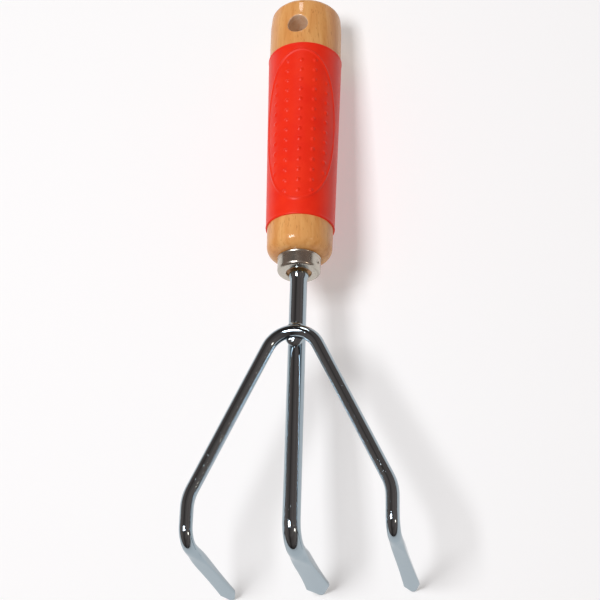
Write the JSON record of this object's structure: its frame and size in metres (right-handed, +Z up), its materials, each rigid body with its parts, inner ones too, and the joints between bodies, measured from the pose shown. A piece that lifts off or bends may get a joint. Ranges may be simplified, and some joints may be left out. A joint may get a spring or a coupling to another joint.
{
  "type": "hand cultivator",
  "caption": "Hand cultivator with a turned wooden handle, moulded rubber grip, plated ferrule and welded chromed tines that end in flat pointed claws.",
  "frame": {"origin": "on the floor under the middle of the bounding box, with the tool lying on its claw points and the edge of its butt", "axes": "+Y along the tool from the claws to the butt, +Z up, +X to the right seen from the claws"},
  "size_m": [0.0968, 0.2908, 0.0656],
  "materials": {
    "lacquered_wood": "gloss",
    "red_rubber": "satin",
    "nickel_plate": "polished",
    "chrome_plate": "polished",
    "plated_weld": "polished"
  },
  "bodies": {
    "root": {"wooden_handle": "lacquered_wood", "rubber_grip": "red_rubber", "ferrule": "nickel_plate", "centre_tine": "chrome_plate", "outer_tines": "chrome_plate", "weld_bead": "plated_weld"}
  },
  "joints": []
}
